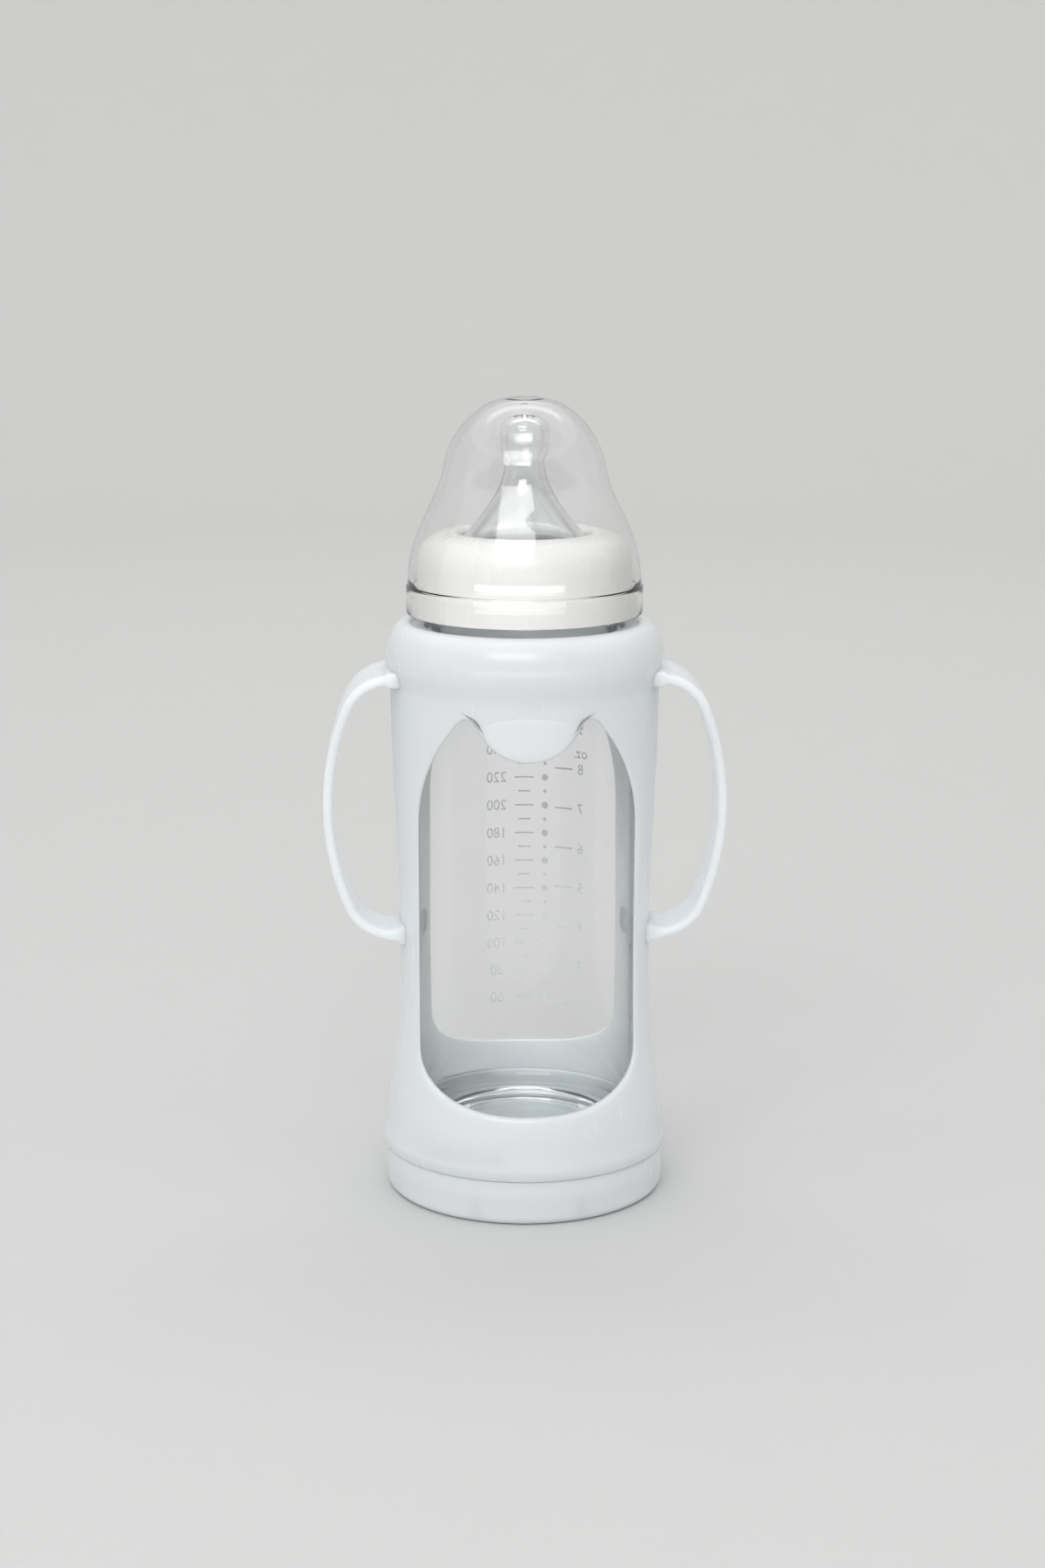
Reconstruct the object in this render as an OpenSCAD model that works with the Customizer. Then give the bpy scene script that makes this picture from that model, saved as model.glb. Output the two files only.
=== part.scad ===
// Glass baby bottle held in a moulded sleeve with two handles, closed by a teat,
// a screw collar and a clear dome cap. Millimetres, +Z up, origin in the middle of
// the underside. The handles point along +X and -X, the windows face -Y and +Y.

/* [Glass bottle] */
// Outer radius of the glass body
glass_r = 30.9; // [26:0.1:37.1]
// Thickness of the glass wall
glass_wall = 2.5; // [1.8:0.1:3.2]
// Thickness of the glass floor
glass_floor = 4.4; // [3:0.1:6]
// Straight height of the glass body, from its foot to its shoulder
glass_body_h = 124.6; // [104:0.2:150]
// Height of the rounded shoulder of the glass
glass_shoulder_h = 12; // [9:0.2:15]
// Outer radius of the bare neck, under the thread
neck_r = 24.6; // [20:0.1:26]
// Straight height of the neck above the shoulder
neck_h = 21.4; // [18:0.2:26]

/* [Thread] */
// Rise of the single-start neck thread in one turn
thread_pitch = 5; // [4:0.25:6]
// Height of the thread ridges above the wall they stand on
thread_depth = 1.1; // [0.8:0.05:1.4]
// Turns of thread on the neck and in the collar
thread_turns = 1.1; // [0.9:0.05:1.2]
// Radial gap between a ridge and the wall that faces it
thread_gap = 0.3; // [0.2:0.05:0.5]

/* [Teat] */
// Radius of the round tip
tip_r = 6.4; // [5:0.1:7.5]
// Height of the teat from its flange to the top of its tip
teat_h = 35.9; // [30:0.1:43]
// Thickness of the silicone
teat_wall = 1.6; // [1.2:0.1:2]
// Thickness of the flange that the collar clamps
teat_flange_t = 1.8; // [1.4:0.1:2.4]
// Radius of the teat where it leaves the collar
teat_root_r = 16.6; // [14:0.1:18]

/* [Screw collar] */
// Thickness of the collar's side wall
collar_wall = 2.3; // [1.8:0.1:3]
// How far the bottom flange stands out past the side wall
collar_flange_w = 1.1; // [0.8:0.1:1.6]
// Height of the bottom flange
collar_flange_h = 7; // [5:0.1:8.5]
// Thickness of the top ring above the teat flange
collar_top_t = 3.5; // [2.8:0.1:4.5]

/* [Dome cap] */
// Thickness of the clear wall
cap_wall = 1.4; // [1:0.1:1.8]
// Height of the dome above the teat tip, outside
cap_over_tip = 4.6; // [3.6:0.1:6]
// Radius of the dome at the height of the teat neck
cap_waist_r = 21.1; // [18:0.1:23]

/* [Sleeve] */
// Thickness of the sleeve wall
sleeve_wall = 2; // [1.6:0.1:2.6]
// Radial gap between the glass body and the narrowest part of the sleeve
sleeve_gap = 0.6; // [0.4:0.1:1.2]
// How far the bottom lip flares out past the waist
sleeve_flare = 5; // [4.6:0.1:7]
// How far the top of the wall leans out past the waist
sleeve_lean = 2; // [1:0.1:3]
// How far the round shoulder bead stands out past the wall below it
sleeve_bead = 1.1; // [0.6:0.1:1.6]
// Height of the waist above the table
waist_z = 69; // [58:0.5:80]
// How far the sleeve top stands above the glass shoulder
sleeve_over_shoulder = 4; // [3.6:0.1:5]

/* [Windows] */
// Half width of each window
window_w = 28.2; // [23:0.1:29]
// Height of the window sill above the table
window_z = 29; // [27:0.5:36]
// Height of the rounded lower end of the window
sill_depth = 15.5; // [12:0.5:20]
// Radius of the petal that hangs into the top of the window
petal_r = 14.7; // [12:0.1:17]
// How far the petal's face stands out past the sleeve
petal_proud = 0.5; // [0.3:0.1:0.9]

/* [Handles] */
// Reach of each handle's centre line past the waist
handle_reach = 18.7; // [15:0.1:24]
// Height between the centre lines of the two arms
handle_h = 69.6; // [58:0.2:78]
// Radius of the centre line at the two bends
handle_bend_r = 12.5; // [10:0.1:15]
// Radius of the long bow
handle_bow_r = 71; // [60:0.5:90]
// Thickness of the strap
handle_t = 2.7; // [2.2:0.1:3.4]
// Width of the strap at its top root
handle_top_w = 27; // [22:0.5:30]
// Width of the strap at its bow and bottom root
handle_low_w = 17.4; // [14:0.1:21]

/* [Base cap] */
// Height of the base cap below the parting line
base_h = 12.2; // [11:0.1:15]
// Gap at the parting line
parting_gap = 0.3; // [0.2:0.05:0.4]
// Thickness of the base cap's wall
base_wall = 2.1; // [1.7:0.1:2.6]
// Height of the glass seat above the table
seat_z = 13.95; // [12.6:0.05:16]
// Number of lugs of the twist lock
lug_count = 3; // [3:1:4]

/* [Hidden] */
$fn = 96;

// Seat gap between pieces that move apart
seat_gap = 0.3;
over = 1;

// Levels
glass_z = seat_z + 0.25;
shoulder_z = glass_z + glass_body_h;
neck_z = shoulder_z + glass_shoulder_h;
neck_top_z = neck_z + neck_h;
sleeve_top_z = neck_z + sleeve_over_shoulder;
flange_z = neck_top_z + seat_gap;
collar_under_z = flange_z + teat_flange_t + seat_gap;
collar_top_z = collar_under_z + collar_top_t;
collar_z = sleeve_top_z + 2;
tip_z = flange_z + teat_h;
cap_top_z = tip_z + cap_over_tip;

// Glass
glass_in_r = glass_r - glass_wall;
neck_in_r = neck_r - glass_wall;

// Collar and cap radii, from the neck outwards
thread_r = neck_r + thread_depth;
collar_bore_r = thread_r + thread_gap;
collar_r = collar_bore_r + collar_wall;
collar_flange_r = collar_r + collar_flange_w;
cap_in_r = collar_flange_r + seat_gap;
cap_r = cap_in_r + cap_wall;
collar_mouth_r = teat_root_r + seat_gap + 0.2;

// Thread ridge widths, and how far a ridge is rooted into its wall
ridge_root_w = 0.44 * thread_pitch;
ridge_crest_w = 0.24 * thread_pitch;
ridge_root = 0.5;
thread_step = 12;

// Sleeve radii and levels
waist_r = glass_r + sleeve_gap + sleeve_wall;
lip_r = waist_r + sleeve_flare;
lip_z = base_h + 2.9;
sleeve_z = base_h + parting_gap / 2;
hollow_z = sleeve_top_z - 16.7;
bead_z = sleeve_top_z - 9.7;
hollow_r = waist_r + sleeve_lean;
bead_r = hollow_r + sleeve_bead;
crest_r = bead_r - 5.6;
crest_round = 1.2;
plate_z = sleeve_top_z - crest_round;
plate_t = 2;
neck_hole_r = thread_r + 0.6;

// Base cap radii; the twist lock fills the space between spigot and skirt
base_r = lip_r - 0.7;
base_foot_r = base_r - 0.45;
foot_round = 2.4;
foot_recess_r = glass_r - 1;
foot_recess = 0.8;
base_floor = 2;
skirt_in_r = lip_r - 2.7;
spigot_r = skirt_in_r - 1.8;
spigot_wall = 1.7;
spigot_top_z = base_h + 8.4;
ledge_t = 3;
ledge_z = base_h + 3.6;
ledge_h = 2.3;
ledge_a = 40;
lug_h = 2;
lug_z = ledge_z + ledge_h + seat_gap;
lug_a = 28;
stop_a = 3;
seat_r = glass_r - 4.6;
seat_wall = 2.6;
rib_count = 8;
rib_t = 1.6;
rib_h = 7.5;

// Handles
handle_x = waist_r + handle_reach;
arm_top_z = sleeve_top_z - 14;
arm_low_z = arm_top_z - handle_h;
handle_mid_z = (arm_top_z + arm_low_z) / 2;
bow_x = handle_x - handle_bow_r;
bend_up = handle_h / 2 - handle_bend_r;
bend_x = bow_x + sqrt(pow(handle_bow_r - handle_bend_r, 2) - bend_up * bend_up);
bend_a = asin(bend_up / (handle_bow_r - handle_bend_r));

// Windows
petal_z = sleeve_top_z - 16.9;
arch_z = sleeve_top_z - 51;
arch_r = 45.3;
crease_r = 35;
sill_power = 2.6;
peak_round = 2.4;

white = [0.93, 0.95, 0.96];
cream = [0.95, 0.94, 0.90];
clear = [0.86, 0.89, 0.90, 0.35];
silicone = [0.80, 0.84, 0.86, 0.6];
glass = [0.80, 0.88, 0.86, 0.35];

// --- curves ---------------------------------------------------------------

function arc(c, r, a0, a1, n) =
    [for (i = [0:n]) let (a = a0 + (a1 - a0) * i / n) c + r * [cos(a), sin(a)]];

function bezier(p0, p1, p2, p3, n) =
    [for (i = [0:n]) let (t = i / n, s = 1 - t)
        s * s * s * p0 + 3 * s * s * t * p1 + 3 * s * t * t * p2 + t * t * t * p3];

function smooth(t) = t * t * (3 - 2 * t);

function blend(a, b, t) = a + (b - a) * smooth(min(1, max(0, t)));

function reversed(p) = [for (i = [len(p) - 1:-1:0]) p[i]];

// A curve moved to its left by t, each point along the local normal
function left_of(p, t) =
    [for (i = [0:len(p) - 1])
        let (d = p[min(i + 1, len(p) - 1)] - p[max(i - 1, 0)])
        p[i] + t * [-d[1], d[0]] / norm(d)];

// Outer radius of the sleeve at height z
function sleeve_r(z) =
    z < waist_z ? waist_r + sleeve_flare * pow(1 - (z - lip_z) / (waist_z - lip_z), 2.1)
    : z < hollow_z ? blend(waist_r, hollow_r, (z - waist_z) / (hollow_z - waist_z))
    : blend(hollow_r, bead_r, (z - hollow_z) / (bead_z - hollow_z));

function levels(z0, z1, n) = [for (i = [0:n - 1]) z0 + (z1 - z0) * i / n];

sleeve_levels = concat(
    levels(lip_z, waist_z, 9), levels(waist_z, hollow_z, 8),
    levels(hollow_z, bead_z, 4)
);

// The round shoulder from the bead over to the crest, moved inwards by t
function shoulder(t) =
    [for (a = [0:7.5:90]) [crest_r, bead_z]
        + [(bead_r - crest_r - t) * cos(a), (sleeve_top_z - bead_z - t) * sin(a)]];

sleeve_outside = concat(
    [[base_r + 0.1, sleeve_z], [lip_r - 0.3, sleeve_z + 0.7]],
    [for (z = sleeve_levels) [sleeve_r(z), z]],
    shoulder(0)
);

// --- thread ---------------------------------------------------------------

// A helical ridge from radius r_root to r_crest, its ends run out into the wall
module ridge(r_root, r_crest, z0, turns) {
    n = round(turns * 360 / thread_step);
    section = [
        [0, -ridge_root_w / 2], [1, -ridge_crest_w / 2],
        [1, ridge_crest_w / 2], [0, ridge_root_w / 2]
    ];
    points = [for (i = [0:n], s = section)
        let (
            a = i * thread_step,
            run = min(1, i / 3, (n - i) / 3),
            sink = r_root + (r_root < r_crest ? -ridge_root : ridge_root),
            r = s[0] == 0 ? sink : r_root + (r_crest - r_root) * run
        )
        [r * cos(a), r * sin(a), z0 + thread_pitch * a / 360 + s[1]]];
    sides = [for (i = [0:n - 1], k = [0:3])
        let (a = 4 * i + k, b = 4 * i + (k + 1) % 4, c = a + 4, d = b + 4)
        each [[a, b, d], [a, d, c]]];
    ends = [[0, 2, 1], [0, 3, 2], [4 * n, 4 * n + 1, 4 * n + 2], [4 * n, 4 * n + 2, 4 * n + 3]];
    faces = concat(sides, ends);
    polyhedron(points, r_root < r_crest ? faces : [for (f = faces) reversed(f)]);
}

// --- pieces ---------------------------------------------------------------

module dome_cap() {
    band_z = collar_z + 0.1;
    ledge = collar_z + collar_flange_h + seat_gap;
    dome_z = tip_z - 13;
    flare = bezier(
        [cap_r - 0.45, ledge + 0.4], [cap_r - 0.45, ledge + 15],
        [cap_waist_r + 1.9, dome_z - 11], [cap_waist_r, dome_z], 12
    );
    dome = bezier(
        [cap_waist_r, dome_z], [cap_waist_r - 1.6, dome_z + 9],
        [cap_waist_r - 9, cap_top_z - 1.2], [5, cap_top_z - 0.2], 10
    );
    outside = concat(flare, [for (i = [1:10]) dome[i]]);
    inside = left_of(outside, cap_wall);
    color(clear) rotate_extrude() polygon(concat(
        [[cap_in_r, band_z], [cap_r, band_z], [cap_r, ledge]],
        outside, [[0, cap_top_z]], [[0, cap_top_z - cap_wall]],
        reversed(inside), [[cap_r - 0.45 - cap_wall, ledge], [cap_in_r, ledge]]
    ));
}

module teat() {
    hole_r = 0.5;
    nape_z = tip_z - 12.3;
    nape_r = tip_r - 1.25;
    root_z = collar_top_z - 2;
    tip = concat(
        arc([tip_r - 4.2, tip_z - 4.2], 4.2, 90, 0, 5),
        [[tip_r, tip_z - 9.4]]
    );
    bell = bezier(
        [nape_r, nape_z], [nape_r + 0.3, nape_z - 8],
        [teat_root_r - 5.5, root_z + 7], [teat_root_r, root_z], 10
    );
    outside = concat(tip, bell);
    flange_r = neck_r - 0.2;
    inside_bell = left_of(bell, -teat_wall);
    color(silicone) rotate_extrude() polygon(concat(
        [[hole_r, tip_z]], outside,
        [[teat_root_r, flange_z + teat_flange_t]],
        [[flange_r, flange_z + teat_flange_t], [flange_r, flange_z]],
        [[teat_root_r - teat_wall, flange_z]],
        reversed(inside_bell),
        [[tip_r - teat_wall - 0.2, tip_z - 9.4], [tip_r - teat_wall - 0.2, tip_z - 5]],
        [[hole_r + 1.4, tip_z - teat_wall], [hole_r, tip_z - teat_wall]]
    ));
}

module screw_collar() {
    flange_top = collar_z + collar_flange_h;
    crown = bezier(
        [collar_r, collar_top_z - 9.5], [collar_r + 0.1, collar_top_z - 2.4],
        [collar_mouth_r + 7.5, collar_top_z], [collar_mouth_r + 2, collar_top_z], 10
    );
    lip = arc([collar_mouth_r + 2, collar_top_z - 2], 2, 90, 180, 4);
    color(cream) union() {
        rotate_extrude() polygon(concat(
            [[collar_bore_r, collar_z], [collar_flange_r, collar_z]],
            [[collar_flange_r, flange_top - 0.7], [collar_flange_r - 0.7, flange_top]],
            [[collar_r, flange_top]],
            crown, [for (i = [1:4]) lip[i]],
            [[collar_mouth_r, collar_under_z], [collar_bore_r, collar_under_z]]
        ));
        ridge(collar_bore_r, neck_r + thread_gap, collar_z + 2.2 + thread_pitch / 2, thread_turns);
    }
}

module glass_bottle() {
    foot_ring = glass_r - 3.6;
    shoulder = bezier(
        [glass_r, shoulder_z], [glass_r, shoulder_z + glass_shoulder_h * 0.62],
        [neck_r, neck_z - glass_shoulder_h * 0.45], [neck_r, neck_z], 10
    );
    inner_floor = glass_z + glass_floor;
    color(glass) union() {
        rotate_extrude() polygon(concat(
            [[0, glass_z + 0.8], [foot_ring - 4, glass_z + 0.8], [foot_ring - 3, glass_z]],
            arc([glass_r - 3.6, glass_z + 3.6], 3.6, 270, 360, 5),
            shoulder,
            [[neck_r, neck_top_z - 0.8], [neck_r - 0.8, neck_top_z], [neck_in_r + 0.5, neck_top_z]],
            [[neck_in_r, neck_top_z - 0.5]],
            reversed(left_of(shoulder, glass_wall)),
            arc([glass_in_r - 4.5, inner_floor + 4.5], 4.5, 0, -90, 6),
            [[0, inner_floor - 0.4]]
        ));
        ridge(neck_r, thread_r, collar_z + 2.2 + thread_pitch, thread_turns);
    }
}

module window_outline() {
    offset(r = peak_round) offset(delta = -peak_round) difference() {
        union() {
            intersection() {
                translate([window_w - arch_r, arch_z]) circle(r = arch_r);
                translate([arch_r - window_w, arch_z]) circle(r = arch_r);
                translate([-window_w - over, arch_z]) square([2 * (window_w + over), arch_r]);
            }
            polygon(concat(
                [for (i = [0:28]) let (a = 180 * i / 28) [
                    window_w * sign(cos(a)) * pow(abs(cos(a)), 2 / sill_power),
                    window_z + sill_depth * (1 - pow(abs(sin(a)), 2 / sill_power))
                ]],
                [[-window_w, arch_z + 0.1], [window_w, arch_z + 0.1]]
            ));
        }
        translate([0, petal_z]) circle(r = petal_r);
    }
}

// The petal under its arched upper edge; the window trims its lower edge
module petal_outline() {
    intersection() {
        translate([0, petal_z]) circle(r = petal_r + 0.6);
        translate([0, petal_z - 3.3 - crease_r]) circle(r = crease_r);
    }
}

module facing_front(depth) {
    rotate([90, 0, 0]) linear_extrude(height = depth) children();
}

module sleeve_solid(grow) {
    rotate_extrude() polygon(concat(
        [[0, sleeve_z]],
        [for (p = sleeve_outside) [p[0] + grow, p[1]]],
        [[0, sleeve_top_z]]
    ));
}

// The raised petal at the top of a window
module petal() {
    intersection() {
        difference() {
            sleeve_solid(petal_proud);
            sleeve_solid(-sleeve_wall / 2);
        }
        facing_front(lip_r + over) petal_outline();
    }
}

module protective_sleeve() {
    skirt_top = base_h + 9.4;
    bore = concat(
        [[skirt_in_r, sleeve_z], [skirt_in_r, skirt_top]],
        [for (z = sleeve_levels) if (z > skirt_top + 1) [sleeve_r(z) - sleeve_wall, z]],
        [for (p = shoulder(sleeve_wall)) if (p[1] < plate_z - plate_t) p],
        [[neck_hole_r, plate_z - plate_t], [neck_hole_r, plate_z]],
        arc([crest_r, plate_z], crest_round, 180, 97.5, 4)
    );
    color(white) union() {
        difference() {
            union() {
                rotate_extrude() polygon(concat(sleeve_outside, reversed(bore)));
                petal();
                mirror([0, 1, 0]) petal();
            }
            facing_front(lip_r + over) window_outline();
            mirror([0, 1, 0]) facing_front(lip_r + over) window_outline();
        }
        // Ledges of the twist lock, each with a stop at one end
        for (i = [0:lug_count - 1]) rotate(i * 360 / lug_count) {
            rotate(-ledge_a / 2) rotate_extrude(angle = ledge_a)
                translate([spigot_r + 0.4, ledge_z]) square([skirt_in_r - spigot_r, ledge_h]);
            rotate(lug_a / 2 + 1) rotate_extrude(angle = stop_a)
                translate([spigot_r + 0.6, ledge_z + 1]) square([skirt_in_r - spigot_r - 0.3, ledge_h + 1.4]);
        }
    }
}

// Centre line of the strap moved outwards by d, closed towards the bottle
function strap_side(d) = concat(
    [[0, arm_top_z + d]],
    arc([bend_x, arm_top_z - handle_bend_r], handle_bend_r + d, 90, bend_a, 8),
    arc([bow_x, handle_mid_z], handle_bow_r + d, bend_a * 5 / 6, -bend_a * 5 / 6, 10),
    arc([bend_x, arm_low_z + handle_bend_r], handle_bend_r + d, -bend_a, -90, 8),
    [[0, arm_low_z - d]]
);

function strap_half_w(z) =
    blend(handle_low_w, handle_top_w, (z - handle_mid_z - 8) / (arm_top_z - handle_mid_z - 8)) / 2;

module handle(side) {
    reach = handle_x + handle_t;
    widths = levels(handle_mid_z, arm_top_z + 4, 12);
    color(white) difference() {
        intersection() {
            scale_side(side) rotate([90, 0, 0]) linear_extrude(height = 2 * handle_top_w, center = true)
                difference() {
                    polygon(strap_side(handle_t / 2));
                    polygon(strap_side(-handle_t / 2));
                }
            rotate([90, 0, 90]) translate([0, 0, side > 0 ? over : -reach - over])
                linear_extrude(height = reach) polygon(concat(
                    [[-handle_low_w / 2, arm_low_z - 4]],
                    [[handle_low_w / 2, arm_low_z - 4]],
                    [for (z = widths) [strap_half_w(z), z]],
                    [[handle_top_w / 2, arm_top_z + 4], [-handle_top_w / 2, arm_top_z + 4]],
                    [for (z = reversed(widths)) [-strap_half_w(z), z]]
                ));
        }
        sleeve_solid(0);
    }
}

module scale_side(side) {
    if (side > 0) children();
    else mirror([1, 0, 0]) children();
}

module left_handle() {
    handle(-1);
}

module right_handle() {
    handle(1);
}

module base_cap() {
    spigot_in_r = spigot_r - spigot_wall;
    ledge_under = base_h - ledge_t;
    color(white) union() {
        rotate_extrude() polygon(concat(
            [[0, foot_recess], [foot_recess_r, foot_recess], [foot_recess_r + foot_recess, 0]],
            arc([base_foot_r - foot_round, foot_round], foot_round, 270, 355, 5),
            [[base_r, base_h - 0.6], [base_r - 0.35, base_h - parting_gap / 2]],
            [[spigot_r, base_h - parting_gap / 2], [spigot_r, spigot_top_z]],
            [[spigot_in_r, spigot_top_z], [spigot_in_r, ledge_under]],
            [[base_r - base_wall, ledge_under - 2.5], [base_foot_r - base_wall, base_floor + foot_recess]],
            [[seat_r + seat_wall, base_floor + foot_recess], [seat_r + seat_wall, seat_z]],
            [[seat_r, seat_z], [seat_r, base_floor + foot_recess], [0, base_floor + foot_recess]]
        ));
        for (i = [0:rib_count - 1]) rotate((i + 0.5) * 360 / rib_count)
            translate([seat_r + seat_wall - 0.5, -rib_t / 2, base_floor])
                cube([base_foot_r - base_wall - seat_r - seat_wall + 1, rib_t, rib_h - base_floor]);
        for (i = [0:lug_count - 1]) rotate(i * 360 / lug_count - lug_a / 2)
            rotate_extrude(angle = lug_a)
                translate([spigot_r - 0.6, lug_z]) square([skirt_in_r - spigot_r + 0.2, lug_h]);
    }
}

dome_cap();
teat();
screw_collar();
glass_bottle();
protective_sleeve();
left_handle();
right_handle();
base_cap();
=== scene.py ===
"""Glass baby bottle in a two-handled white sleeve, with a silicone teat, a screw collar and a dome cap."""

import math

import bpy
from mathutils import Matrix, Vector


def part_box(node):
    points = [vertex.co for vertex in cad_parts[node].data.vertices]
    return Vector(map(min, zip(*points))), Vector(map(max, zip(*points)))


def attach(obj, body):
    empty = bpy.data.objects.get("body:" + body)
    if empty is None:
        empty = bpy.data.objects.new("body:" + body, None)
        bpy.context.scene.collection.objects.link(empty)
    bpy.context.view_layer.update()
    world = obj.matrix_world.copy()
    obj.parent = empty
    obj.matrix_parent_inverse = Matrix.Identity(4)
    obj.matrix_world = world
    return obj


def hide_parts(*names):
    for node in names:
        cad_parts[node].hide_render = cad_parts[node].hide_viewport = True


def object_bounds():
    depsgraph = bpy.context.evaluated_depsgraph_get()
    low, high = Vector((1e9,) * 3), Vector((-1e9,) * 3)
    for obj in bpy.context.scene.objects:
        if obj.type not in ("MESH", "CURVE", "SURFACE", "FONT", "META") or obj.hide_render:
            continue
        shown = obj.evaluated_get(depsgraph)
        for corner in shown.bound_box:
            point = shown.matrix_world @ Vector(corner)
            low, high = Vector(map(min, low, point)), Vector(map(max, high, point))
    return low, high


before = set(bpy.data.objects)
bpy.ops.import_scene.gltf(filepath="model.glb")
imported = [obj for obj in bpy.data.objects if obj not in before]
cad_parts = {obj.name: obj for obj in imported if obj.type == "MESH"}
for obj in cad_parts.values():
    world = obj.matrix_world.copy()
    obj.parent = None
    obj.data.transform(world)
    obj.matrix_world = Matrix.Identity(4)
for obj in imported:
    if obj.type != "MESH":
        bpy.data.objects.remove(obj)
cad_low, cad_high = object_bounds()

# --- Protective sleeve -------------------------------------------------------------------
# The hard shell that guards the glass: one injection moulding in glossy cool-white
# polypropylene, 2 mm thick, rolled over at the shoulder and flared at the bottom lip. Side
# cores leave a round-edged window in the front and in the back, each under a raised petal.

MM = 0.001


def box_mm(node):
    """Lowest and highest corner of a CAD node, in millimetres."""
    low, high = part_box(node)
    return low / MM, high / MM


def smooth(t):
    t = min(1.0, max(0.0, t))
    return t * t * (3 - 2 * t)


def mix(a, b, t):
    return a + (b - a) * t


def arc(x, z, r, start, end, steps):
    """Points of a round from one angle to another, in degrees."""
    turns = [math.radians(mix(start, end, i / steps)) for i in range(steps + 1)]
    return [(x + r * math.cos(a), z + r * math.sin(a)) for a in turns]


def deselect_all():
    bpy.ops.object.select_all(action="DESELECT")


def edit(piece, *steps):
    """Runs edit mode steps on the whole of a piece."""
    deselect_all()
    piece.select_set(True)
    bpy.context.view_layer.objects.active = piece
    bpy.ops.object.mode_set(mode="EDIT")
    bpy.ops.mesh.select_all(action="SELECT")
    for step in steps:
        step()
    bpy.ops.object.mode_set(mode="OBJECT")


def weld():
    """Closes the seams and poles of the mesh in edit mode and turns its faces outwards."""
    bpy.ops.mesh.select_all(action="SELECT")
    bpy.ops.mesh.remove_doubles(threshold=0.002 * MM)
    bpy.ops.mesh.delete_loose()
    bpy.ops.mesh.select_all(action="SELECT")
    bpy.ops.mesh.normals_make_consistent(inside=False)


def grid_piece(name, columns, rows, place):
    """A grid whose vertex in column i and row j is moved to place(i, j), in millimetres."""
    deselect_all()
    bpy.ops.mesh.primitive_grid_add(x_subdivisions=columns, y_subdivisions=rows, size=2)
    piece = bpy.context.object
    piece.name = piece.data.name = name
    for vertex in piece.data.vertices:
        i = round((vertex.co.x + 1) / 2 * columns)
        j = round((vertex.co.y + 1) / 2 * rows)
        vertex.co = Vector(place(i, j)) * MM
    return piece


def join(name, first, *others):
    """The pieces as one object, welded, with its faces outwards."""
    deselect_all()
    for piece in (first, *others):
        piece.select_set(True)
    bpy.context.view_layer.objects.active = first
    bpy.ops.object.join()
    first.name = first.data.name = name
    edit(first, weld)
    return first


def finish_piece(piece, body, node, material, crease=35):
    """Smooth shading, material, and the piece's place in the frame."""
    deselect_all()
    piece.select_set(True)
    bpy.context.view_layer.objects.active = piece
    bpy.ops.object.shade_smooth_by_angle(angle=math.radians(crease))
    piece.data.materials.clear()
    piece.data.materials.append(material)
    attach(piece, body)
    if node:
        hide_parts(node)


sleeve_low, sleeve_high = box_mm("protective_sleeve")
glass_low, glass_high = box_mm("glass_bottle")
glass_r = glass_high.x
SLEEVE_WALL = 2.0
WAIST_Z = 69.0
waist_r = glass_r + 0.6 + SLEEVE_WALL
lip_r = sleeve_high.x
lip_z = sleeve_low.z + 2.75
sleeve_top = sleeve_high.z
hollow_z = sleeve_top - 16.7
bead_z = sleeve_top - 9.7
hollow_r = waist_r + 2.0
bead_r = hollow_r + 1.1
crest_r = bead_r - 5.6
CREST_ROUND = 1.2
plate_z = sleeve_top - CREST_ROUND
PLATE_T = 2.0
neck_hole_r = 26.3


def sleeve_r(z):
    """Outer radius of the sleeve at height z."""
    if z < WAIST_Z:
        return waist_r + (lip_r - waist_r) * (1 - (z - lip_z) / (WAIST_Z - lip_z)) ** 2.1
    if z < hollow_z:
        return mix(waist_r, hollow_r, smooth((z - WAIST_Z) / (hollow_z - WAIST_Z)))
    return mix(hollow_r, bead_r, smooth((z - hollow_z) / (bead_z - hollow_z)))


def shoulder_point(thickness, turn):
    """A point of the round shoulder, from the bead at 0 degrees over to the crest at 90."""
    a = math.radians(turn)
    return (crest_r + (bead_r - crest_r - thickness) * math.cos(a),
            bead_z + (sleeve_top - bead_z - thickness) * math.sin(a))


# Window outline, its right half: from the middle of the sill, up the side, over the peak
# and along the petal to its lowest point
WINDOW_W = 28.2
SILL_Z = 29.0
SILL_DEPTH = 15.5
SILL_POWER = 2.6
ARCH_R = 45.3
arch_x = WINDOW_W - ARCH_R
arch_z = sleeve_top - 51
PETAL_R = 14.7
petal_z = sleeve_top - 16.9
PETAL_PROUD = 0.5
CREASE_R = 35.0
crease_z = petal_z - 3.3 - CREASE_R
PEAK_R = 2.4

# The peak's round touches the arch from inside and the petal from outside
gap = math.hypot(arch_x, petal_z - arch_z)
along = ((ARCH_R - PEAK_R) ** 2 - (PETAL_R + PEAK_R) ** 2 + gap * gap) / (2 * gap)
aside = math.sqrt((ARCH_R - PEAK_R) ** 2 - along * along)
lean = Vector((-arch_x, petal_z - arch_z)) / gap
peak_x = arch_x + lean.x * along + lean.y * aside
peak_z = arch_z + lean.y * along - lean.x * aside
arch_end = math.degrees(math.atan2(peak_z - arch_z, peak_x - arch_x))
petal_start = math.degrees(math.atan2(peak_z - petal_z, peak_x))


def sill_point(i, steps):
    t = math.pi / 2 * i / steps
    power = 2 / SILL_POWER
    return WINDOW_W * math.sin(t) ** power, SILL_Z + SILL_DEPTH * (1 - math.cos(t) ** power)


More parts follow.
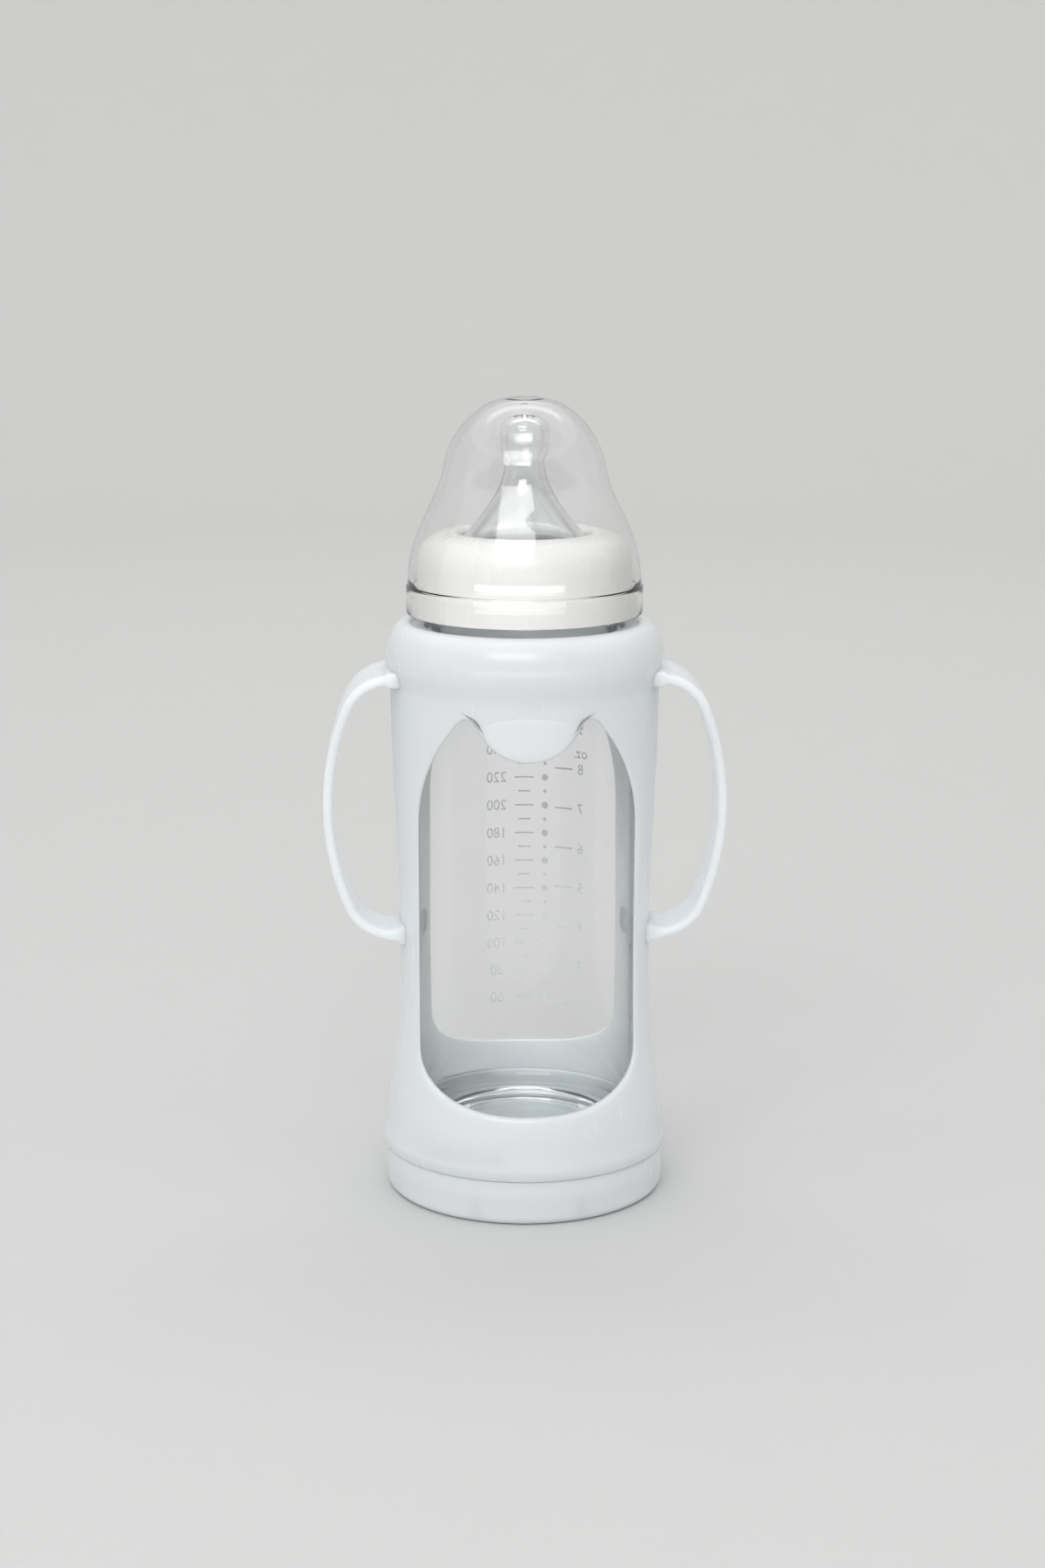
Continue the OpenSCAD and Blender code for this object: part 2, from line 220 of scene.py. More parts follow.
SILL_STEPS, SIDE_STEPS, ARCH_STEPS, PEAK_STEPS, PETAL_STEPS = 34, 30, 28, 10, 18
side_z = SILL_Z + SILL_DEPTH
half_window = [sill_point(i, SILL_STEPS) for i in range(SILL_STEPS)]
half_window += [(WINDOW_W, mix(side_z, arch_z, i / SIDE_STEPS)) for i in range(SIDE_STEPS)]
half_window += arc(arch_x, arch_z, ARCH_R, 0, arch_end, ARCH_STEPS)[:-1]
half_window += arc(peak_x, peak_z, PEAK_R, arch_end, petal_start + 180, PEAK_STEPS)[:-1]
half_window += arc(0, petal_z, PETAL_R, petal_start, -90, PETAL_STEPS)
HALF = len(half_window) - 1
COLUMNS = 2 * HALF

# Each column of the panel runs from the window's edge to the border of the half shell:
# the first ones to its lower border, the next to the side seam and the last to the top
border_low_z = 23.5
border_top_z = hollow_z + 2.5
LOW_COLUMN = 22
TOP_COLUMN = SILL_STEPS + SIDE_STEPS + 17


def border(i):
    """Angle round the shell and height of the border point that column i of the half ends at."""
    if i <= LOW_COLUMN:
        return math.pi / 2 * i / LOW_COLUMN, border_low_z
    if i >= TOP_COLUMN:
        return math.pi / 2 * (HALF - i) / (HALF - TOP_COLUMN), border_top_z
    from_z, to_z = half_window[LOW_COLUMN][1], half_window[TOP_COLUMN][1]
    share = (half_window[i][1] - from_z) / (to_z - from_z)
    even = (i - LOW_COLUMN) / (TOP_COLUMN - LOW_COLUMN)
    return math.pi / 2, mix(border_low_z, border_top_z, mix(share, even, 0.3))


def edge_normal(i):
    """Direction away from the opening at point i of the half outline."""
    before = half_window[i - 1] if i > 0 else (-half_window[1][0], half_window[1][1])
    after = half_window[i + 1] if i < HALF else (-half_window[HALF - 1][0], half_window[HALF - 1][1])
    run = Vector((after[0] - before[0], after[1] - before[1])).normalized()
    return Vector((run.y, -run.x))


EDGE_ROUND = 1.1
CREASE_END_X = 12.6
NEAREST_CREASE = 0.07


def petal_height(x):
    """How far the petal's face stands out at x, fading towards the window's peaks."""
    return PETAL_PROUD * smooth((CREASE_END_X - abs(x)) / 5)


def crease_share(start, end):
    """How far along from start to end a column crosses the petal's crease, or None."""
    if start[0] > CREASE_END_X:
        return None
    low, high = 0.0, 1.0
    for _ in range(30):
        middle = (low + high) / 2
        x, z = mix(start[0], end[0], middle), mix(start[1], end[1], middle)
        if z < crease_z + math.sqrt(CREASE_R**2 - x * x):
            low = middle
        else:
            high = middle
    return low


def front(x, z, r):
    """The point over (x, z) on the shell of radius r, on the front half."""
    return x, -math.sqrt(max(r * r - x * x, 0)), z


def round_shell(turn, z, r):
    return r * math.sin(turn), -r * math.cos(turn), z


OUTER_ROWS, PETAL_ROWS, ROUND_ROWS, INNER_ROWS = 9, 6, 5, 6
CREASE_STEP = 0.25


def panel_column(i):
    """Column i of the half panel, from the outer border over the window's edge to the inner border."""
    x, z = half_window[i]
    normal = edge_normal(i)
    start = (x + normal.x * EDGE_ROUND, z + normal.y * EDGE_ROUND)
    turn, z_end = border(i)
    start_turn = math.asin(min(1, start[0] / sleeve_r(start[1])))
    end = (sleeve_r(z_end) * math.sin(turn), z_end)
    crossing = crease_share(start, end) if i > HALF - PETAL_STEPS - PEAK_STEPS else None
    peak_column = HALF - PETAL_STEPS
    away = smooth(abs(i - peak_column) / 26)
    share = max(crossing, NEAREST_CREASE) if crossing is not None else mix(NEAREST_CREASE, 0.4, away)
    step = CREASE_STEP / max(math.dist(start, end), 1)
    rows = [mix(1, share + step, (k / OUTER_ROWS) ** 0.85) for k in range(OUTER_ROWS + 1)]
    rows += [share * (1 - k / PETAL_ROWS) for k in range(PETAL_ROWS + 1)]
    points = []
    for k, s in enumerate(rows):
        if crossing is None:
            here_turn, here_z = mix(start_turn, turn, s), mix(start[1], z_end, s)
            points.append(round_shell(here_turn, here_z, sleeve_r(here_z)))
        else:
            here_x, here_z = mix(start[0], end[0], s), mix(start[1], end[1], s)
            proud = petal_height(here_x) if k > OUTER_ROWS else 0
            points.append(front(here_x, here_z, sleeve_r(here_z) + proud))
    proud = petal_height(x) if crossing is not None else 0
    outer_r, inner_r = sleeve_r(z) + proud, sleeve_r(z) - SLEEVE_WALL
    facing = max(0.5, math.sqrt(1 - (x / outer_r) ** 2))
    for k in range(1, ROUND_ROWS + 1):
        a = math.pi / 2 * k / ROUND_ROWS
        out = EDGE_ROUND * (1 - math.sin(a))
        here = front(x + normal.x * out, z + normal.y * out, outer_r)
        points.append((here[0], here[1] + EDGE_ROUND / facing * (1 - math.cos(a)), here[2]))
    inner = front(x, z, inner_r)
    points.append((inner[0], inner[1] - 0.3, inner[2]))
    first = (x + normal.x * 0.3, z + normal.y * 0.3)
    first_turn = math.asin(min(1, first[0] / (sleeve_r(first[1]) - SLEEVE_WALL)))
    for k in range(INNER_ROWS + 1):
        s = k / INNER_ROWS
        here_z = mix(first[1], z_end, s)
        points.append(round_shell(mix(first_turn, turn, s), here_z, sleeve_r(here_z) - SLEEVE_WALL))
    return points


half_panel = [panel_column(i) for i in range(HALF + 1)]
PANEL_ROWS = len(half_panel[0]) - 1


def front_panel(i, j):
    x, y, z = half_panel[i if i <= HALF else COLUMNS - i][j]
    return (x if i <= HALF else -x), y, z


def back_panel(i, j):
    x, y, z = front_panel(i, j)
    return x, -y, z


def shell_turns(columns, steps):
    """Angles round the whole shell at which the panels' columns meet a border ring."""
    quarter = [border(i)[0] for i in columns]
    half = sorted(quarter + [-t for t in quarter if t > 0])
    return half + [math.pi + t for t in half[1:]]


def ring_piece(name, turns, profile):
    """A band round the shell through the profile's (radius, height) points."""
    return grid_piece(name, len(turns) - 1, len(profile) - 1,
                      lambda i, j: round_shell(turns[i], profile[j][1], profile[j][0]))


low_turns = shell_turns(range(LOW_COLUMN + 1), LOW_COLUMN)
top_turns = shell_turns(range(TOP_COLUMN, HALF + 1), HALF - TOP_COLUMN)
skirt_in_r = lip_r - 2.7
skirt_top_z = sleeve_low.z + 9.25

lip_profile = [(sleeve_r(z), z) for z in [mix(border_low_z, lip_z, k / 7) for k in range(8)]]
lip_profile += [(lip_r - 0.12, lip_z - 0.9), (lip_r - 0.3, sleeve_low.z + 0.7)]
lip_profile += arc(lip_r - 0.65, sleeve_low.z + 0.35, 0.35, 0, -90, 3)
lip_profile += arc(skirt_in_r + 0.3, sleeve_low.z + 0.3, 0.3, 270, 180, 3)
lip_profile += [(skirt_in_r, skirt_top_z - 1), (skirt_in_r - 0.2, skirt_top_z)]
lip_profile += [(sleeve_r(border_low_z) - SLEEVE_WALL, border_low_z)]

rim_profile = [(sleeve_r(z), z) for z in [mix(border_top_z, bead_z, k / 5) for k in range(5)]]
rim_profile += [shoulder_point(0, turn) for turn in range(0, 90, 5)]
rim_profile += arc(crest_r, plate_z, CREST_ROUND, 90, 180, 5)
rim_profile += arc(neck_hole_r + 0.4, plate_z - 0.4, 0.4, 90, 180, 3)
rim_profile += [(neck_hole_r, plate_z - PLATE_T)]
rim_profile += [shoulder_point(SLEEVE_WALL, turn) for turn in (57, 45, 30, 15, 0)]
rim_profile += [(sleeve_r(z) - SLEEVE_WALL, z) for z in (border_top_z + 2, border_top_z)]

# Ledges of the twist lock inside the skirt, each with a stop at one end
LEDGE_TURN = math.radians(40)
STOP_FROM, STOP_TO = math.radians(15), math.radians(18)
LUG_COUNT = 3
spigot_r = skirt_in_r - 1.8
ledge_z = sleeve_low.z + 3.45
LEDGE_H = 2.3


def block_ring(name, r0, r1, z0, z1, turn0, turn1, steps=12):
    """A closed block swept round the axis between two radii, two heights and two angles."""
    ring = [(r0, z0), (r1, z0), (r1, z1), (r0, z1), (r0, z0)]

    def place(i, j):
        turn = mix(turn0, turn1, i / steps)
        r, z = ring[j]
        return r * math.cos(turn), r * math.sin(turn), z

    piece = grid_piece(name, steps, 4, place)
    edit(piece, weld, close_ends)
    return piece


def close_ends():
    """Fills the open loops of the mesh in edit mode."""
    bpy.ops.mesh.select_all(action="DESELECT")
    bpy.ops.mesh.select_non_manifold()
    bpy.ops.mesh.edge_face_add()
    bpy.ops.mesh.select_all(action="SELECT")
    bpy.ops.mesh.normals_make_consistent(inside=False)


ledges = []
for n in range(LUG_COUNT):
    turn = math.tau * n / LUG_COUNT
    ledges.append(block_ring("ledge", spigot_r + 0.4, skirt_in_r + 0.6, ledge_z, ledge_z + LEDGE_H,
                             turn - LEDGE_TURN / 2, turn + LEDGE_TURN / 2))
    ledges.append(block_ring("stop", spigot_r + 0.6, skirt_in_r + 0.5,
                             ledge_z + 1, ledge_z + LEDGE_H + 1.4,
                             turn + STOP_FROM, turn + STOP_TO, 3))

sleeve = join(
    "sleeve_shell",
    grid_piece("panel", COLUMNS, PANEL_ROWS, front_panel),
    grid_piece("panel", COLUMNS, PANEL_ROWS, back_panel),
    ring_piece("rim", top_turns, rim_profile),
    ring_piece("lip", low_turns, lip_profile),
)
sleeve = join("sleeve_shell", sleeve, *ledges)


# Finish of a moulding: a faint ripple of the tool's polish, hairline scuffs in the gloss
# and a slow drift of tone, shared by every plastic piece and, much weaker, by the glass
def value_node(group, kind, **settings):
    node = group.nodes.new(kind)
    for name, value in settings.items():
        setattr(node, name, value)
    return node


def skin_group():
    group = bpy.data.node_groups.new("moulded_skin", "ShaderNodeTree")
    inputs = [
        ("Colour", "NodeSocketColor", (0.8, 0.8, 0.8, 1)), ("Drift", "NodeSocketFloat", 0.02),
        ("Ripple Height", "NodeSocketFloat", 0.00001), ("Ripple Scale", "NodeSocketFloat", 300.0),
        ("Gloss Roughness", "NodeSocketFloat", 0.2), ("Scuffs", "NodeSocketFloat", 0.05),
    ]
    for name, kind, default in inputs:
        socket = group.interface.new_socket(name=name, in_out="INPUT", socket_type=kind)
        socket.default_value = default
    for name, kind in (("Colour", "NodeSocketColor"), ("Roughness", "NodeSocketFloat"),
                       ("Normal", "NodeSocketVector")):
        group.interface.new_socket(name=name, in_out="OUTPUT", socket_type=kind)
    link = group.links.new
    given = group.nodes.new("NodeGroupInput")
    out = group.nodes.new("NodeGroupOutput")
    place = group.nodes.new("ShaderNodeTexCoord")

    drift = value_node(group, "ShaderNodeTexNoise")
    drift.inputs["Scale"].default_value = 28
    drift.inputs["Detail"].default_value = 3
    link(place.outputs["Object"], drift.inputs["Vector"])
    spread = value_node(group, "ShaderNodeMapRange")
    spread.inputs["To Min"].default_value = 1
    link(drift.outputs["Fac"], spread.inputs["Value"])
    lower = value_node(group, "ShaderNodeMath", operation="SUBTRACT")
    lower.inputs[0].default_value = 1
    link(given.outputs["Drift"], lower.inputs[1])
    link(lower.outputs[0], spread.inputs["To Max"])
    tone = value_node(group, "ShaderNodeVectorMath", operation="SCALE")
    link(given.outputs["Colour"], tone.inputs[0])
    link(spread.outputs["Result"], tone.inputs["Scale"])
    link(tone.outputs[0], out.inputs["Colour"])

    stretch = value_node(group, "ShaderNodeMapping")
    stretch.inputs["Scale"].default_value = (900, 900, 60)
    stretch.inputs["Rotation"].default_value = (0.35, 0.2, 0)
    link(place.outputs["Object"], stretch.inputs["Vector"])
    scuff = value_node(group, "ShaderNodeTexNoise")
    scuff.inputs["Scale"].default_value = 1
    scuff.inputs["Detail"].default_value = 2
    link(stretch.outputs["Vector"], scuff.inputs["Vector"])
    hairline = value_node(group, "ShaderNodeMapRange")
    hairline.inputs["From Min"].default_value = 0.6
    hairline.inputs["From Max"].default_value = 0.78
    link(scuff.outputs["Fac"], hairline.inputs["Value"])
    patch = value_node(group, "ShaderNodeMath", operation="MULTIPLY")
    link(hairline.outputs["Result"], patch.inputs[0])
    link(drift.outputs["Fac"], patch.inputs[1])
    rough = value_node(group, "ShaderNodeMath", operation="MULTIPLY_ADD")
    link(patch.outputs[0], rough.inputs[0])
    link(given.outputs["Scuffs"], rough.inputs[1])
    link(given.outputs["Gloss Roughness"], rough.inputs[2])
    link(rough.outputs[0], out.inputs["Roughness"])

    ripple = value_node(group, "ShaderNodeTexNoise")
    ripple.inputs["Detail"].default_value = 1
    link(place.outputs["Object"], ripple.inputs["Vector"])
    link(given.outputs["Ripple Scale"], ripple.inputs["Scale"])
    bump = value_node(group, "ShaderNodeBump")
    bump.inputs["Strength"].default_value = 1
    link(ripple.outputs["Fac"], bump.inputs["Height"])
    link(given.outputs["Ripple Height"], bump.inputs["Distance"])
    link(bump.outputs["Normal"], out.inputs["Normal"])
    return group


moulded_skin = skin_group()


def skin_material(name, colour, **skin):
    """A material with the moulding's skin in its colour, gloss and normal; returns it and its shader."""
    material = bpy.data.materials.new(name)
    material.use_nodes = True
    nodes, link = material.node_tree.nodes, material.node_tree.links.new
    shader = nodes["Principled BSDF"]
    group = nodes.new("ShaderNodeGroup")
    group.node_tree = moulded_skin
    group.inputs["Colour"].default_value = (*colour, 1)
    for socket, value in skin.items():
        group.inputs[socket.replace("_", " ")].default_value = value
    link(group.outputs["Colour"], shader.inputs["Base Color"])
    link(group.outputs["Roughness"], shader.inputs["Roughness"])
    link(group.outputs["Normal"], shader.inputs["Normal"])
    return material, shader


white_plastic, white_shader = skin_material(
    "cool_white_moulding", (0.87, 0.925, 0.975), Drift=0.02, Ripple_Height=0.000004,
    Ripple_Scale=260.0, Gloss_Roughness=0.2, Scuffs=0.25,
)
white_shader.inputs["IOR"].default_value = 1.49
white_shader.inputs["Subsurface Weight"].default_value = 0.7
white_shader.inputs["Subsurface Radius"].default_value = (1.0, 1.0, 1.0)
white_shader.inputs["Subsurface Scale"].default_value = 0.008

finish_piece(sleeve, "bottle", "protective_sleeve", white_plastic)

# --- Handles -----------------------------------------------------------------------------
# A flat strap on each side for small hands, moulded in one with the sleeve: wide where it
# leaves the wall under the bead, narrower down the bow, and run into the wall with a fillet.

STRAP_T = 2.7
STRAP_TOP_W = 27.0
STRAP_LOW_W = 17.4
BEND_R = 12.5
BOW_R = 71.0
handle_box = box_mm("right_handle")
handle_x = handle_box[1].x - STRAP_T / 2
arm_top_z = sleeve_top - 14
arm_low_z = arm_top_z - 69.6
handle_mid_z = (arm_top_z + arm_low_z) / 2
bow_x = handle_x - BOW_R
bend_up = (arm_top_z - arm_low_z) / 2 - BEND_R
bend_x = bow_x + math.sqrt((BOW_R - BEND_R) ** 2 - bend_up**2)
bend_turn = math.degrees(math.asin(bend_up / (BOW_R - BEND_R)))

strap_line = [(sleeve_r(arm_top_z) - 3, arm_top_z), (sleeve_r(arm_top_z) - 1.5, arm_top_z)]
strap_line += arc(bend_x, arm_top_z - BEND_R, BEND_R, 90, bend_turn, 22)[:-1]
strap_line += arc(bow_x, handle_mid_z, BOW_R, bend_turn, -bend_turn, 30)
strap_line += arc(bend_x, arm_low_z + BEND_R, BEND_R, -bend_turn, -90, 22)[1:]
strap_line += [(mix(bend_x, waist_r - 3, t), arm_low_z) for t in (0.25, 0.5, 0.75, 1)]

STRAP_EDGE = 1.2
CORNER_STEPS = 5
FACE_STEPS = 6
CROWN = 0.12


def strap_section(width, thickness):
    """Points round the strap: across its width and out through its thickness."""
    half_w, half_t = width / 2 - STRAP_EDGE, thickness / 2 - STRAP_EDGE - CROWN
    face = [mix(half_w, -half_w, k / FACE_STEPS) for k in range(1, FACE_STEPS)]
    points = arc(half_w, half_t, STRAP_EDGE, 0, 90, CORNER_STEPS)
    points += [(y, thickness / 2 - CROWN * (y / half_w) ** 2) for y in face]
    points += arc(-half_w, half_t, STRAP_EDGE, 90, 180, CORNER_STEPS)
    points += arc(-half_w, -half_t, STRAP_EDGE, 180, 270, CORNER_STEPS)
    points += [(-y, CROWN * (y / half_w) ** 2 - thickness / 2) for y in face]
    points += arc(half_w, -half_t, STRAP_EDGE, 270, 360, CORNER_STEPS)
    return points + points[:1]


def strap_point(i, j, side):
    x, z = strap_line[j]
    before, after = strap_line[max(j - 1, 0)], strap_line[min(j + 1, len(strap_line) - 1)]
    run = Vector((after[0] - before[0], after[1] - before[1])).normalized()
    outwards = Vector((-run.y, run.x))
    rise = (z - handle_mid_z - 8) / (arm_top_z - handle_mid_z - 8)
    width = mix(STRAP_LOW_W, STRAP_TOP_W, smooth(rise))
    reach = x - sleeve_r(z)
    root = TOP_FILLET if z > handle_mid_z else LOW_FILLET
    flare = root * max(0, 1 - max(reach, 0) / (2 * root)) ** 2.5
    y, out = strap_section(width + 1.2 * flare, STRAP_T + 1.6 * flare)[i]
    px, pz = x + outwards.x * out, z + outwards.y * out
    if abs(z - arm_top_z) < 0.01 or abs(z - arm_low_z) < 0.01:
        px = min(px, math.sqrt(max(sleeve_r(pz) ** 2 - y * y, 0)) + x - sleeve_r(z))
    return side * px, y, pz


TOP_FILLET, LOW_FILLET = 1.0, 2.4
SECTION = len(strap_section(STRAP_TOP_W, STRAP_T)) - 1
for name, side in (("left", -1), ("right", 1)):
    strap = grid_piece(f"{name}_strap", SECTION, len(strap_line) - 1,
                       lambda i, j: strap_point(i, j, side))
    edit(strap, weld, close_ends)
    finish_piece(strap, "bottle", f"{name}_handle", white_plastic)

# --- Glass bottle ------------------------------------------------------------------------
# Blown borosilicate glass with a faint green tint, 2.5 mm thick, with a rounded foot, a
# thick floor and a single-start thread on the neck. It slides into the sleeve from below.


def bow(p0, p1, p2, p3, steps):
    """Points of a Bezier curve."""
    points = []
    for k in range(steps + 1):
        t = k / steps
        s = 1 - t
        points.append(tuple(
            s**3 * a + 3 * s * s * t * b + 3 * s * t * t * c + t**3 * d
            for a, b, c, d in zip(p0, p1, p2, p3)
        ))
    return points


def to_left(points, distance):
    """The curve moved to its left, each point along the local normal."""
    moved = []
    for k, (r, z) in enumerate(points):
        r0, z0 = points[max(k - 1, 0)]
        r1, z1 = points[min(k + 1, len(points) - 1)]
        length = math.hypot(r1 - r0, z1 - z0)
        moved.append((r - distance * (z1 - z0) / length, z + distance * (r1 - r0) / length))
    return moved


def straight(p0, p1, steps):
    """Even points from p0 towards p1, without p1."""
    return [(mix(p0[0], p1[0], k / steps), mix(p0[1], p1[1], k / steps)) for k in range(steps)]


def turned(name, outline, steps=144):
    """A piece spun round the axis from its closed (radius, height) outline."""
    deselect_all()
    bpy.ops.mesh.primitive_circle_add(vertices=len(outline), radius=1)
    piece = bpy.context.object
    piece.name = piece.data.name = name
    for vertex, (r, z) in zip(piece.data.vertices, outline):
        vertex.co = Vector((r, 0, z)) * MM
    edit(piece,
         lambda: bpy.ops.mesh.spin(steps=steps, angle=math.tau, center=(0, 0, 0), axis=(0, 0, 1)),
         weld)
    return piece


THREAD_PITCH = 5.0
THREAD_TURNS = 1.1
THREAD_ROOT_W, THREAD_CREST_W = 2.2, 1.2
THREAD_RUN_OUT = math.radians(36)


def ridge_height(turn, z, start_z):
    """How much of its full height the helical ridge has at an angle and height, from 0 to 1."""
    full = 0.0
    for lap in range(math.ceil(THREAD_TURNS)):
        wound = turn % math.tau + lap * math.tau
        left = THREAD_TURNS * math.tau - wound
        if left < 0:
            continue
        off = abs(z - start_z - THREAD_PITCH * wound / math.tau)
        flank = (THREAD_ROOT_W / 2 - off) / ((THREAD_ROOT_W - THREAD_CREST_W) / 2)
        full = max(full, smooth(flank) * smooth(min(wound, left) / THREAD_RUN_OUT))
    return full


def cut_thread(piece, wall_r, depth, start_z):
    """Raises the ridge on the wall of radius wall_r, outwards for a positive depth."""
    for vertex in piece.data.vertices:
        r, z = math.hypot(vertex.co.x, vertex.co.y) / MM, vertex.co.z / MM
        if abs(r - wall_r) < 0.005:
            lift = depth * ridge_height(math.atan2(vertex.co.y, vertex.co.x), z, start_z)
            vertex.co.x *= 1 + lift / wall_r
            vertex.co.y *= 1 + lift / wall_r


GLASS_WALL = 2.5
FOOT_ROUND = 3.6
FLOOR_ROUND = 4.5
THREAD_DEPTH = 1.1
collar_low, collar_high = box_mm("screw_collar")
glass_z, neck_top_z = glass_low.z, glass_high.z
shoulder_z = glass_z + 124.6
neck_z = shoulder_z + 12
neck_r = 24.6
floor_z = glass_z + 4.4
neck_thread_z = collar_low.z + 2.2 + THREAD_PITCH

shoulder = bow((glass_r, shoulder_z), (glass_r, shoulder_z + 7.44),
               (neck_r, neck_z - 5.4), (neck_r, neck_z), 22)
inner_shoulder = to_left(shoulder, GLASS_WALL)
glass_outline = [(0, glass_z + 1.0), (12, glass_z + 0.95), (glass_r - 9, glass_z + 0.8)]
glass_outline += arc(glass_r - 7.4, glass_z + 0.8, 0.8, 200, 270, 4)
glass_outline += arc(glass_r - FOOT_ROUND, glass_z + FOOT_ROUND, FOOT_ROUND, 270, 360, 12)
glass_outline += straight((glass_r, glass_z + 8), (glass_r, shoulder_z), 12)
glass_outline += shoulder[:-1]
glass_outline += straight((neck_r, neck_z), (neck_r, neck_top_z - 0.8), 84)
glass_outline += arc(neck_r - 0.8, neck_top_z - 0.8, 0.8, 0, 90, 5)
glass_outline += arc(neck_r - GLASS_WALL + 0.6, neck_top_z - 0.6, 0.6, 90, 180, 4)
glass_outline += inner_shoulder[::-1]
glass_outline += straight((glass_r - GLASS_WALL, shoulder_z - 5), (glass_r - GLASS_WALL, floor_z + 9), 10)
glass_outline += arc(glass_r - GLASS_WALL - FLOOR_ROUND, floor_z + FLOOR_ROUND, FLOOR_ROUND, 0, -90, 12)
glass_outline += [(12, floor_z - 0.25), (0, floor_z - 0.4)]
glass_flask = turned("glass_flask", glass_outline)
cut_thread(glass_flask, neck_r, THREAD_DEPTH, neck_thread_z)


def clear_material(name, colour, ior, shadow, **skin):
    """A clear material whose piece lets lamp light through, tinted by the shadow colour."""
    material, shader = skin_material(name, colour, **skin)
    nodes, link = material.node_tree.nodes, material.node_tree.links.new
    shader.inputs["Transmission Weight"].default_value = 1
    shader.inputs["IOR"].default_value = ior
    path = nodes.new("ShaderNodeLightPath")
    see_through = nodes.new("ShaderNodeBsdfTransparent")
    see_through.inputs["Color"].default_value = (*shadow, 1)
    blend = nodes.new("ShaderNodeMixShader")
    link(path.outputs["Is Shadow Ray"], blend.inputs[0])
    link(shader.outputs[0], blend.inputs[1])
    link(see_through.outputs[0], blend.inputs[2])
    link(blend.outputs[0], nodes["Material Output"].inputs["Surface"])
    return material


clear_glass = clear_material(
    "bottle_glass", (0.99, 0.997, 0.995), 1.47, (0.98, 0.99, 0.988), Drift=0.0,
    Ripple_Height=0.00002, Ripple_Scale=60.0, Gloss_Roughness=0.0, Scuffs=0.03,
)
finish_piece(glass_flask, "bottle", "glass_bottle", clear_glass)

# --- Printed scale -----------------------------------------------------------------------
# Pale enamel fired on the back of the glass: millilitres on one side, a column of dots in
# the middle and fluid ounces on the other, read through the back window.

PRINT_LIFT, PRINT_T = 0.02, 0.05
DIGIT_H = 3.0
LINE_T = 0.45
ML_PER_MM = math.pi * (glass_r - GLASS_WALL) ** 2 / 1000
ML_PER_OZ = 28.4
ML_NUMBER_X, ML_TICK_X, DOT_X, OZ_TICK_X, OZ_NUMBER_X = 7.2, -1.0, -7.1, -12.9, -18.4
print_r = glass_r + PRINT_LIFT


def level_of(ml):
    """Height of the milk's surface at a volume; the floor's round corner holds 1.5 ml less."""
    return floor_z + (ml + 1.5) / ML_PER_MM


def wrap_on_back(piece, across, z):
    """Bends a flat print, in millimetres in XY, on to the back of the glass."""
    for vertex in piece.data.vertices:
        turn = (across + vertex.co.x) / glass_r
        r = print_r + PRINT_T / 2 + vertex.co.z
        vertex.co = Vector((-r * math.sin(turn), r * math.cos(turn), z + vertex.co.y)) * MM
    return piece


def printed_text(words, across, z):
    deselect_all()
    bpy.ops.object.text_add()
    piece = bpy.context.object
    piece.data.body = words
    piece.data.size = DIGIT_H / 0.72
    piece.data.align_x = "CENTER"
    piece.data.align_y = "CENTER"
    piece.data.extrude = PRINT_T / 2
    piece.data.resolution_u = 4
    bpy.ops.object.convert(target="MESH")
    return wrap_on_back(bpy.context.object, across, z)


def printed_line(across, width, z):
    middle = math.pi / 2 + across / glass_r
    turn = width / 2 / glass_r
    return block_ring("tick", print_r, print_r + PRINT_T, z - LINE_T / 2, z + LINE_T / 2,
                      middle - turn, middle + turn, 6)


def printed_dot(across, radius, z):
    deselect_all()
    bpy.ops.mesh.primitive_cylinder_add(vertices=20, radius=radius, depth=PRINT_T)
    return wrap_on_back(bpy.context.object, across, z)


marks = []
for ml in range(60, 241, 10):
    z = level_of(ml)
    if ml % 20:
        marks += [printed_line(ML_TICK_X, 3.6, z), printed_dot(DOT_X, 0.5, z)]
    else:
        marks += [printed_text(str(ml), ML_NUMBER_X, z), printed_line(ML_TICK_X, 5.6, z)]
        marks.append(printed_dot(DOT_X, 0.95, z))
for oz in range(2, 10):
    z = level_of(oz * ML_PER_OZ)
    marks += [printed_text(str(oz), OZ_NUMBER_X, z), printed_line(OZ_TICK_X, 5.5, z)]
marks.append(printed_text("oz.", OZ_NUMBER_X, level_of(8 * ML_PER_OZ) + 4.6))
marks.append(printed_text("ml", ML_NUMBER_X, level_of(240) + 5.2))
printed_scale = join("printed_scale", *marks)
enamel, _ = skin_material(
    "scale_enamel", (0.86, 0.86, 0.84), Drift=0.06, Ripple_Height=0.000005, Ripple_Scale=900.0,
    Gloss_Roughness=0.45, Scuffs=0.1,
)
finish_piece(printed_scale, "bottle", None, enamel)

# --- Base cap ----------------------------------------------------------------------------
# A white twist-in foot of the same plastic as the sleeve. Its spigot and three lugs lock
# under the ledges in the skirt, and a ring inside on eight ribs carries the glass.

base_high = box_mm("base_cap")[1]
base_r = base_high.x
base_foot_r = base_r - 0.45
BASE_H = sleeve_low.z - 0.15
BASE_FOOT_ROUND = 2.4
BASE_WALL = 2.1
RECESS_R, RECESS = glass_r - 1, 0.8
BASE_FLOOR = 2.8
SEAT_Z = glass_z - 0.25
SEAT_R, SEAT_WALL = glass_r - 4.6, 2.6
RIB_COUNT, RIB_T, RIB_H = 8, 1.6, 7.5
SPIGOT_WALL = 1.7
spigot_top_z = base_high.z
lug_z = spigot_top_z - 2.2
LUG_TURN = math.radians(28)
PART_Z = BASE_H - 0.15

